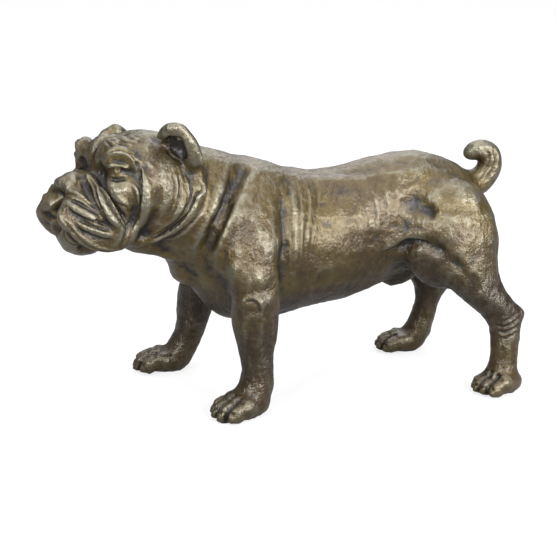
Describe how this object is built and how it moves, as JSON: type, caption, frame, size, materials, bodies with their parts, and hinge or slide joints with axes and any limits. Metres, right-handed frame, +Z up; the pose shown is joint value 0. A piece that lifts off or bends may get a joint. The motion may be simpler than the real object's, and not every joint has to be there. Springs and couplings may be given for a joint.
{
  "type": "bulldog garden statue",
  "caption": "Free-standing bronze garden statue of a bulldog on all fours, head turned to its left, with a folded face, rose ears and a curled tail.",
  "frame": {"origin": "centre of the bounding box at the level of the soles", "axes": "+X from the head towards the tail (the dog faces -X), +Y towards the dog's right side, +Z up"},
  "size_m": [0.6518, 0.2932, 0.3864],
  "materials": {
    "bronze": "brown-olive patinated cast bronze, semi-gloss, rubbed brighter on the high places and dark in the folds"
  },
  "bodies": {
    "root": {"bulldog": "bronze"}
  },
  "joints": []
}
